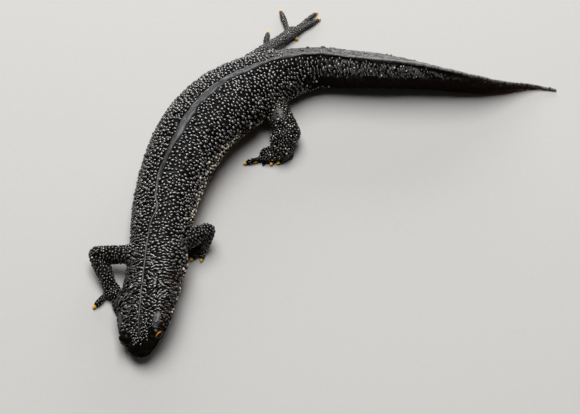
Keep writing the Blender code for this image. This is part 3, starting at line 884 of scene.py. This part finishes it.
def creamChance(where, angle, leg):
    # rows of cream warts on the jaw, along the flanks and at the root of the tail; on the legs there
    # are few, most of them on the left hind one
    onLeg = 0.04 + 0.12 * ((where > 45) & (angle > 0))
    low = sum(chance * bell(np.abs(angle), middle, spread) * within(*reach, where)
              for chance, middle, spread, *reach in wartForm["creamRows"])
    return np.where(leg, onLeg, low + 0.04 * ease(80, 90, where))


def randomPlaces(mesh):
    # random places spread evenly over the mesh's triangles, and the way the surface faces there
    corners = meshCorners(mesh).reshape(-1, 3)
    points, normals = meshPoints(mesh)[corners], meshNormals(mesh)[corners]
    a, b, c = (points[:, k] for k in range(3))
    total = np.cumsum(0.5 * lengthOf(np.cross(b - a, c - a)))
    count = int(total[-1] * wartForm["candidatesPerArea"])
    face = np.searchsorted(total, rng.random(count) * total[-1])
    face = np.minimum(face, len(corners) - 1)
    u, v = np.sqrt(rng.random(count)), rng.random(count)
    weights = np.stack([1 - u, u * (1 - v), u * v], 1)[..., None]
    return (points[face] * weights).sum(1), unit((normals[face] * weights).sum(1))


def stayChance(roots, where, lateral, vertical, angle, leg):
    # how likely a wart is to stay: never on the band, the lids, the mouth's line, the digits' tips and
    # right at the floor, seldom on the pads, the underside, the tail's lower flank and its far side
    away, rise = np.abs(angle), vertical / bodyAt("tall", where)
    room = wartForm["room"]
    onBand = (bandGap(roots, where, lateral) < room["band"]) & (vertical > 0) & (where > 2.4) & (where < 104)
    low = fall(0.20, 0.32, rise + 0.05 * noiseAt(roots, 2.2, 22))
    low = low * (1 - 0.5 * bell(away, 104, 16) * fall(84, 88, where))
    line = mouthLine(where)
    onMouth = (np.abs(vertical - line) < room["mouth"]) & (where < skinForm["mouthCorner"])
    onBody = (
        1.0 - onBand,
        1.0 - onMouth,
        fall(116, 130, away),                                      # the underside
        ease(1.0, 2.2, where),                                     # the snout's tip
        1 - 0.97 * glandShape(roots, where, angle),
        1 - 0.95 * ease(98, 114, where),                           # the tail's end
        1 - 0.985 * ease(76, 86, where) * low,                     # its lower flank
        1 - 0.97 * ease(84, 94, where) * ease(0.44, 0.50, rise),   # its crest
        1 - crestShade(where, lateral, vertical),
        1 - 0.9 * (lateral <= -0.1) * ease(70, 80, where) * ease(0.18, 0.30, rise),   # its far side
        1 - 0.75 * ((vertical < line) & (where < 10)),             # the chin
    )
    keep = 1 - 0.6 * leg * fall(0.9, 2.0, lengthOf(roots - thighPatch))
    for chance in onBody:
        keep = keep * np.where(leg, 1.0, chance)
    for side, (at, *_) in eyes.items():
        opening, near = lidOpening(roots, side)
        keep = keep * (lengthOf(roots - at) > room["eye"]) * ~(near & (opening < room["lids"]))
    for tip in toeTips:
        keep = keep * (lengthOf(roots - tip) > room["tip"])
    return keep * (roots[:, 2] > room["floor"])


def thinned(spots, spacing, alive):
    # places taken in random order, each clearing away all others nearer than its own spacing
    tree = kdtree.KDTree(len(spots))
    for i in np.flatnonzero(alive):
        tree.insert(spots[i], i)
    tree.balance()
    chosen = []
    for i in rng.permutation(np.flatnonzero(alive)):
        if alive[i]:
            for _, j, _ in tree.find_range(spots[i], spacing[i]):
                alive[j] = False
            chosen.append(i)
    return np.array(chosen)


def scatterRoots(mesh):
    # random places, thinned so that no two stand too close, with the bare places left out
    roots, facing = randomPlaces(mesh)
    where, lateral, vertical, angle, share = bodyPlace(roots)
    leg = (share > 1.08) & (legShare(roots) < 1.7)
    table = np.array(wartForm["spacing"])
    foot = 1 - (1 - wartForm["footShare"]) * fall(1.3, 2.6, roots[:, 2])
    spacing = np.where(leg, wartForm["legSpacing"] * foot, np.interp(where, table[:, 0], table[:, 1]))
    cream = np.minimum(creamChance(where, angle, leg) * 1.6, 1.0)
    spacing = spacing * (1 - (1 - wartForm["creamShare"]) * cream)
    spacing = spacing * rng.uniform(*wartForm["spacingScatter"], len(roots))
    keep = stayChance(roots, where, lateral, vertical, angle, leg)
    # the search runs in a space drawn out along the body where the warts stand closer that way
    fine = np.linspace(0, bodyForm["length"], 500)
    drawn = np.concatenate([[0.0], np.cumsum(np.interp(fine[1:], table[:, 0], table[:, 2]) - 1) * fine[1]])
    spots = roots + np.interp(where, fine, drawn)[:, None] * (0.0, 1.0, 0.0) * ~leg[:, None]
    chosen = thinned(spots, spacing, keep > 0)
    chosen = chosen[rng.random(len(chosen)) < keep[chosen]]
    return [values[chosen] for values in (roots, facing, spacing, where, lateral, angle, leg)]


roots, facing, spacing, where, lateral, angle, leg = scatterRoots(mesh)
print("wart roots:", len(roots))
away = np.abs(angle)
count = len(roots)
radius = wartForm["radiusShare"] * spacing * rng.uniform(*wartForm["radiusScatter"], count)
height = wartForm["heightShare"] * radius * rng.uniform(*wartForm["heightScatter"], count)
onBody = (0.72 + 0.28 * ease(10, 26, where)) * (1 - 0.35 * ease(90, 112, where))
height *= np.where(leg, wartForm["legHeight"], onBody)
# long warts lie round the body, swung to and fro on the head
ahead = np.column_stack([bodyFrame(where)[1], np.zeros(count)])
swing = wartForm["headSwing"] * noiseAt(roots, 1.4, 41) * bell(where, 10, 9)
across = np.cross(ahead, facing) + swing[:, None] * ahead
across = unit(across + wartForm["turnScatter"] * rng.standard_normal((count, 3)))
longer = np.interp(where, *np.array(wartForm["spacing"]).T[[0, 3]])
roundish = (0.35 + 0.25 * fall(18, 28, where)) * fall(74, 84, where)
longer = longer * (1 - roundish * ease(45, 85, away))
stretch = longer * rng.uniform(*wartForm["stretchScatter"], count)
stretch = np.maximum(np.where(leg, 1.0, stretch), 1.0)
tone = rng.random(count) * np.where(leg, wartForm["legTone"], 1.0)
# cream warts are round, and smaller on the legs and the tail
cream = rng.random(count) < creamChance(where, angle, leg)
white = cream * rng.uniform(*wartForm["creamScatter"], count)
stretch = np.where(cream, 1.0, stretch)
height *= 1 - wartForm["lowering"] * (stretch - 1)
radius *= np.where(cream & leg, wartForm["creamOnLegs"],
                   np.where(cream & (where > 74), wartForm["creamOnTail"], 1.0))
height *= np.where(leg & (where > 45) & (lateral < 0), wartForm["legHeight"], 1.0)
marks = markings(roots)


def unwrapPlace(chosen):
    # the skin's own unwrap: distance from the snout across, the way round the section upward
    along = where[chosen] - where[chosen].min()
    return 0.02 + 0.96 * np.stack([along / along.max(), angle[chosen] / 360.0 + 0.5], 1)


def legUnwrapPlace(roots):
    # four bands, one for each leg: distance along its line across, the way round it upward
    best = np.full(len(roots), np.inf)
    place = np.zeros((len(roots), 2))
    for row, tubes in enumerate(legTubes.values()):
        ends = [pair for places, _ in tubes for pair in zip(places[:-1], places[1:])]
        starts = np.cumsum([0.0] + [np.linalg.norm(b[:3] - a[:3]) for a, b in ends])
        for (a, b), start, end in zip(ends, starts[:-1], starts[1:]):
            t, offset, away = nearestOn(roots, a, b)
            side = unit(np.cross(b[:3] - a[:3], (0.0, 0.0, 1.0)))
            up = unit(np.cross(side, b[:3] - a[:3]))
            turn = np.arctan2(offset @ up, offset @ side) / (2 * np.pi) + 0.5
            along = (start + t * (end - start)) / starts[-1]
            spot = np.stack([0.02 + 0.96 * along, (row + 0.04 + 0.92 * turn) / len(legTubes)], 1)
            nearer = away < best
            place[nearer] = spot[nearer]
            best[nearer] = away[nearer]
    return place


def wartPiece(name, chosen, unwrapped):
    # a low dome carried to every root: rings narrow towards the top by the profile, closed below; a long
    # dome has blunt ends and bends to one side by the square of the distance from its middle
    profile = np.array(wartForm["profile"])
    rings, sides, count = len(profile), wartForm["sides"], len(chosen)
    turn = np.linspace(0, 2 * np.pi, sides, endpoint=False)
    up = facing[chosen]
    first = unit(across[chosen] - up * np.sum(across[chosen] * up, 1)[:, None])
    second = np.cross(up, first)
    wide, tall, long = (values[chosen][:, None, None] for values in (radius, height, stretch))
    wobble = 1 + wartForm["rimScatter"] * rng.standard_normal((count, 1, sides))
    out = wide * profile[None, :, :1] * wobble
    blunt = np.sign(np.cos(turn)) * np.abs(np.cos(turn)) ** wartForm["bluntness"]
    a = out * blunt * long
    bend = wartForm["bend"] * rng.uniform(-1, 1, (count, 1, 1)) * (long - 1) * wide
    b = out * np.sin(turn) / long ** 0.75 + bend * (a / (wide * long)) ** 2
    h = tall * profile[None, :, 1:] - (a * a + b * b) / wartForm["drape"]
    ends = tall * np.array(((0.0, 0.0, wartForm["crown"]), (0.0, 0.0, wartForm["sunk"])))
    local = np.concatenate([np.stack([a, b, h], -1).reshape(count, -1, 3), ends], 1)
    points = (roots[chosen][:, None] + local[..., :1] * first[:, None] + local[..., 1:2] * second[:, None]
              + local[..., 2:] * up[:, None])
    points[..., 2] = np.maximum(points[..., 2], 0.0)
    quads, below, crown = tubeFaces(rings, sides, rings * sides + 1, rings * sides)
    triangles = np.concatenate([quads[:, (0, 1, 2)], quads[:, (0, 2, 3)], crown, below])
    each = local.shape[1]
    faces = (triangles[None] + (np.arange(count) * each)[:, None, None]).reshape(-1, 3)
    mesh = makeMesh(name, points.reshape(-1, 3) * toMetres, faces)
    tip = np.concatenate([np.repeat(np.clip(profile[:, 1], 0, 1), sides), (1.0, 0.0)])
    addValue(mesh, "tip", np.tile(tip, count))
    for mark, values in {"tone": tone, "white": white, **marks}.items():
        addValue(mesh, mark, np.repeat(values[chosen], each))
    flat = unwrapped[:, None] + wartForm["patch"] * local[..., :2] / (2.6 * wide)
    layer = mesh.uv_layers.new(name="OFBake")
    layer.uv.foreach_set("vector", flat.reshape(-1, 2)[meshCorners(mesh)].astype(np.float32).ravel())
    mesh.shade_smooth()
    return makeObject(name, mesh)


wartPieces = {}
for name, start, end in (("headWarts", 0, 22), ("shoulderWarts", 22, 42), ("trunkWarts", 42, 62),
                         ("hipWarts", 62, 84), ("tailWarts", 84, 136)):
    chosen = np.flatnonzero((where >= start) & (where < end) & ~leg)
    wartPieces[name] = wartPiece(name, chosen, unwrapPlace(chosen))
chosen = np.flatnonzero(leg)
wartPieces["legWarts"] = wartPiece("legWarts", chosen, legUnwrapPlace(roots[chosen]))
for name, piece in wartPieces.items():
    print(name, len(piece.data.polygons), "faces")

setPoints(mesh, meshPoints(mesh) * toMetres)
mesh.shade_smooth()


# eyeballs
eyeForm = {
    "size": 0.98,                    # share of the radius that the lids are shaped round
    "cornea": 0.10,                  # how far the clear front bulges
    "corneaWidth": 34.0,             # and how wide it is, in degrees
    "pupil": 34.0, "ring": 39.5, "iris": 60.0,           # degrees from the middle of the gaze
}


def eyeball(side):
    # rings round the gaze, pole to pole, with the clear front bulging by a bell of the angle from it
    at, gaze, top = eyes[side][:3]
    polar = np.radians([*np.linspace(1.5, 88, 44), *np.linspace(91, 178, 26)])[:, None, None]
    turn = np.linspace(0, 2 * np.pi, 64, endpoint=False)[None, :, None]
    bulge = np.exp(-(np.degrees(polar) / eyeForm["corneaWidth"]) ** 2)
    size = skinForm["eyeRadius"] * eyeForm["size"] + eyeForm["cornea"] * bulge
    outward = np.cos(turn) * top + np.sin(turn) * np.cross(gaze, top)
    points, quads, fans = closedGrid(at + size * (np.cos(polar) * gaze + np.sin(polar) * outward))
    mesh = makeMesh(side + "Eyeball", points * toMetres, quads[:, ::-1], fans[:, ::-1])
    away, upward = np.broadcast_arrays(np.degrees(polar) / 90.0, np.cos(turn))
    addValue(mesh, "fromPupil", [*away.ravel(), 0.0, 2.0])
    addValue(mesh, "upward", [*upward.ravel(), 0.0, 0.0])
    mesh.shade_smooth()
    return makeObject(side + "Eyeball", mesh)


eyeballs = {side: eyeball(side) for side in eyes}


# finishes
class Signal:
    # a socket that takes part in sums: each sum adds a Math node and gives its output
    def __init__(self, board, socket):
        self.board = board
        self.socket = socket

    def maths(self, operation, *others):
        return self.board.node("ShaderNodeMath", {"operation": operation}, (self, *others))

    def __add__(self, other):
        return self.maths("ADD", other)

    def __sub__(self, other):
        return self.maths("SUBTRACT", other)

    def __mul__(self, other):
        return self.maths("MULTIPLY", other)

    def __rsub__(self, other):
        return self.board.node("ShaderNodeMath", {"operation": "SUBTRACT"}, (other, self))

    __radd__ = __add__
    __rmul__ = __mul__

    def rise(self, low, high):
        return self.board.node("ShaderNodeMapRange", {"interpolation_type": "SMOOTHSTEP"},
                               {"Value": self, "From Min": low, "From Max": high})


class Board:
    # one material's nodes
    def __init__(self, name):
        self.material = bpy.data.materials.new(name)
        self.material.use_nodes = True
        self.nodes = self.material.node_tree.nodes
        self.links = self.material.node_tree.links
        self.surface = self.nodes["Principled BSDF"]

    def node(self, kind, settings=None, inputs=(), output=0):
        made = self.nodes.new(kind)
        for key, value in (settings or {}).items():
            setattr(made, key, value)
        pairs = inputs.items() if isinstance(inputs, dict) else enumerate(inputs)
        for key, value in pairs:
            if isinstance(value, Signal):
                self.links.new(value.socket, made.inputs[key])
            elif isinstance(value, tuple) and made.inputs[key].type == "RGBA":
                made.inputs[key].default_value = (*value, 1)
            else:
                made.inputs[key].default_value = value
        return Signal(self, made.outputs[output])

    def value(self, name):
        return self.node("ShaderNodeAttribute", {"attribute_name": name}, output="Fac")

    def place(self):
        return self.node("ShaderNodeTexCoord", output="Object")

    def noise(self, scale, detail=3.0, roughness=0.55):
        inputs = {"Vector": self.place(), "Scale": scale, "Detail": detail, "Roughness": roughness}
        return self.node("ShaderNodeTexNoise", inputs=inputs)

    def mix(self, share, first, second):
        return self.node("ShaderNodeMix", {"data_type": "RGBA"}, {0: share, 6: first, 7: second}, output=2)

    def bump(self, height, strength, distance):
        inputs = {"Height": height, "Strength": strength, "Distance": distance}
        return self.node("ShaderNodeBump", inputs=inputs)

    def finish(self, **sockets):
        for name, value in sockets.items():
            socket = self.surface.inputs[name.replace("_", " ")]
            if isinstance(value, Signal):
                self.links.new(value.socket, socket)
            else:
                socket.default_value = (*value, 1) if isinstance(value, tuple) else value
        return self.material


colours = {
    "black": (0.0018, 0.0016, 0.0014), "brown": (0.014, 0.0070, 0.0040), "slateAndSheen": (0.046, 0.046, 0.048),
    "tailBrown": (0.0062, 0.0026, 0.0013), "tailGreyAndSheen": (0.125, 0.122, 0.119),
    "crestHighlight": (0.155, 0.145, 0.141), "orange": (0.56, 0.17, 0.012), "paleOrange": (0.62, 0.25, 0.02),
    "deepOrange": (0.18, 0.058, 0.011), "toe": (0.52, 0.29, 0.026),
    "cream": (0.56, 0.52, 0.40), "wartDark": (0.0022, 0.0020, 0.0018), "wartHighlight": (0.150, 0.149, 0.149),
    "gold": (0.62, 0.29, 0.020), "iris": (0.022, 0.010, 0.0035), "pupil": (0.0012, 0.0012, 0.0012),
    "lid": (0.026, 0.015, 0.008),
}


def bellyOrange(board):
    # all of the belly but its black blotches
    return board.value("belly").rise(0.35, 0.65) * (1 - board.noise(420, 2.5, 0.5).rise(0.50, 0.545))


def undersideColour(board, base):
    # orange belly, speckled throat, orange lower edge of the tail, orange toe tips
    orange = board.mix(board.noise(1500, 3), colours["orange"], colours["paleOrange"])
    base = board.mix(bellyOrange(board), base, orange)
    specks = board.noise(3200, 1.0).rise(0.66, 0.72) * board.value("throat")
    base = board.mix(specks, base, colours["cream"])
    edge = board.value("tailEdge") * board.noise(700, 2).rise(0.34, 0.56)
    base = board.mix(edge * 0.85, base, colours["deepOrange"])
    return board.mix(board.value("toeTip").rise(0.2, 0.8), base, colours["toe"])


def tailColour(board, base):
    # brown lower flank; grey above it, partly the tail's own grey and partly painted sheen; painted sheen
    # specks on the far side; a painted highlight along the crest's edge; painted shadow under the crest and
    # painted shade in the band's crease
    upper = board.value("tailTop")
    specks = board.noise(2100, 3, 0.6).rise(0.34, 0.50) * 0.7
    base = board.mix(board.value("tail") * (1 - upper), base, colours["tailBrown"])
    # grey on the upper flank, partly own grey and partly painted sheen, and painted sheen specks on the far
    # side
    patches = (board.noise(1150, 3, 0.65).rise(0.49, 0.58) * upper + board.value("tailFar") * specks) * 0.8
    base = board.mix(patches, base, colours["tailGreyAndSheen"])
    # painted highlight along the crest's wet edge
    base = board.mix(board.value("crest") * board.noise(1600, 2).rise(0.3, 0.6), base, colours["crestHighlight"])
    # painted shadow and shade in black, from the shade mark
    return board.mix(board.value("shade").rise(0.2, 0.7), base, colours["black"])


def skinFinish():
    board = Board("newtSkin")
    grain = board.noise(2600, 4, 0.6)
    cloud = board.noise(260, 3)
    smooth, flank = board.value("smooth"), board.value("flank")
    base = board.mix(flank * 0.6 * cloud.rise(0.3, 0.7), colours["black"], colours["brown"])
    # painted sheen: grey glint patches between the warts, away from the flanks and the snout; the smooth
    # band, pads and thigh patch are slate grey, partly their own colour and partly painted sheen
    sheen = board.noise(1000, 2).rise(0.50, 0.60) * (1 - flank) * (1 - board.value("snout"))
    base = board.mix(smooth * (0.45 + 0.5 * grain) + sheen * 0.10, base, colours["slateAndSheen"])
    base = board.mix(board.value("lidRim") * grain.rise(0.3, 0.6), base, colours["lid"])
    base = undersideColour(board, tailColour(board, base))
    fine = board.node("ShaderNodeTexVoronoi", {"feature": "SMOOTH_F1"},
                      {"Vector": board.place(), "Scale": 4200.0, "Smoothness": 0.4})
    height = fine * 0.6 + grain * 0.5
    rough = 0.44 + grain * 0.16 + flank * 0.10 + smooth * 0.06
    wet = (1 - flank) * (0.02 + 0.26 * smooth + 0.05 * sheen) * (1 - 0.9 * board.value("snout"))
    return board.finish(Base_Color=base, Roughness=rough, Normal=board.bump(height, 0.6, 0.00009),
                        Specular_IOR_Level=0.01, Coat_Weight=wet, Coat_Roughness=0.24)


def wartFinish():
    board = Board("newtWarts")
    tip, tone, white, flank = (board.value(name) for name in ("tip", "tone", "white", "flank"))
    grain = board.noise(4200, 3, 0.6)
    raised = tip.rise(0.15, 0.75)
    # painted shade: each wart's foot is near-black where it meets the skin; its raised body turns brown by
    # its tone
    dark = board.mix((tone * 0.6 + 0.2 + flank * 0.2) * raised, colours["wartDark"], colours["brown"])
    # painted highlight: a paler grey on each wart's top, less of it on the flanks
    pale = tip.rise(0.55, 1.0) * (0.1 + tone * 0.9) * (1 - flank * 0.3) * grain.rise(0.25, 0.62)
    base = board.mix(pale, dark, colours["wartHighlight"])
    # painted highlight: grey tops on the warts of the tail's upper flank
    base = board.mix(board.value("tailTop") * tip.rise(0.4, 1.0) * (tone * 0.9), base, colours["tailGreyAndSheen"])
    base = board.mix(white * tip.rise(0.15, 0.85), base, colours["cream"])
    base = board.mix(bellyOrange(board), base, colours["orange"])
    rough = 0.26 + grain * 0.16
    wet = (1 - flank * 0.65 - board.value("leg") * 0.4) * raised
    return board.finish(Base_Color=base, Roughness=rough, Normal=board.bump(grain, 0.30, 0.00005),
                        Specular_IOR_Level=0.10, Coat_Weight=wet, Coat_Roughness=0.15, Coat_IOR=1.65)


def eyeFinish():
    board = Board("newtEye")
    away, upward = board.value("fromPupil"), board.value("upward")
    streaks = board.noise(5200, 4, 0.65)
    pupil, ring, iris = (eyeForm[key] / 90 for key in ("pupil", "ring", "iris"))
    outside = away.rise(pupil - 0.01, pupil + 0.015)
    brown = outside * (1 - away.rise(iris - 0.1, iris)) * streaks.rise(0.25, 0.7)
    golden = outside * (1 - away.rise(ring - 0.02, ring + 0.04)) * upward.rise(0.42, 0.80)
    base = board.mix(brown, colours["pupil"], colours["iris"])
    base = board.mix(golden * streaks.rise(0.15, 0.55), base, colours["gold"])
    return board.finish(Base_Color=base, Roughness=0.25, Specular_IOR_Level=0.05, Coat_Weight=0.12,
                        Coat_Roughness=0.02)


skin.data.materials.append(skinFinish())
wartMaterial = wartFinish()
for piece in wartPieces.values():
    piece.data.materials.append(wartMaterial)
eyeMaterial = eyeFinish()
for ball in eyeballs.values():
    ball.data.materials.append(eyeMaterial)

# floor, lights, camera
cameraForm = {"elevation": 55.0, "distance": 0.425, "target": (-0.00832, -0.00751), "lens": 130.05,
              "sensor": 36.0}
camera = bpy.data.objects.new("camera", bpy.data.cameras.new("camera"))
scene.collection.objects.link(camera)
rise = math.radians(cameraForm["elevation"])
back, up = (cameraForm["distance"] * part(rise) for part in (math.cos, math.sin))
camera.location = (cameraForm["target"][0], cameraForm["target"][1] - back, up)
camera.rotation_euler = (math.pi / 2 - rise, 0.0, 0.0)
camera.data.lens = cameraForm["lens"]
camera.data.sensor_width = cameraForm["sensor"]
scene.camera = camera

floorForm = {"half": 1.5, "colour": (0.29, 0.284, 0.276), "fleck": (0.305, 0.299, 0.29)}
corners = np.array([(-1, -1, 0), (1, -1, 0), (1, 1, 0), (-1, 1, 0)]) * floorForm["half"]
floor = makeObject("floor", makeMesh("floor", corners, np.array([[0, 1, 2, 3]])))
paper = Board("palePaper")
tint = paper.mix(paper.noise(900, 3), floorForm["colour"], floorForm["fleck"])
floor.data.materials.append(paper.finish(Base_Color=tint, Roughness=0.9))


def softLight(name, place, width, height, power):
    # a rectangular light that faces the model
    light = bpy.data.objects.new(name, bpy.data.lights.new(name, "AREA"))
    scene.collection.objects.link(light)
    light.location = place
    light.rotation_euler = (-Vector(place)).to_track_quat("-Z", "Y").to_euler()
    light.data.shape = "RECTANGLE"
    light.data.size = width
    light.data.size_y = height
    light.data.energy = power


lightForm = {
    # place, width, height, power in watts
    "keyLight": ((-0.05, 0.20, 0.62), 0.42, 0.66, 10.4),
    "backLight": ((0.05, 0.62, 0.17), 0.80, 0.18, 4.6),
}
for name, light in lightForm.items():
    softLight(name, *light)
worldForm = {"colour": (1.0, 0.99, 0.97, 1), "strength": 0.06}
scene.world = bpy.data.worlds.new("studio")
scene.world.use_nodes = True
background = scene.world.node_tree.nodes["Background"]
background.inputs["Color"].default_value = worldForm["colour"]
background.inputs["Strength"].default_value = worldForm["strength"]
scene.view_settings.view_transform = "Standard"

# what stands for which solid
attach(skin, "root")
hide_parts(*[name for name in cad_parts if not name.startswith("eye")])
for side, ball in eyeballs.items():
    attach(ball, "root")
    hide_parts("eye_" + side)
    "eye_" + side
for name, piece in wartPieces.items():
    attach(piece, "root")
print("all pieces in place")
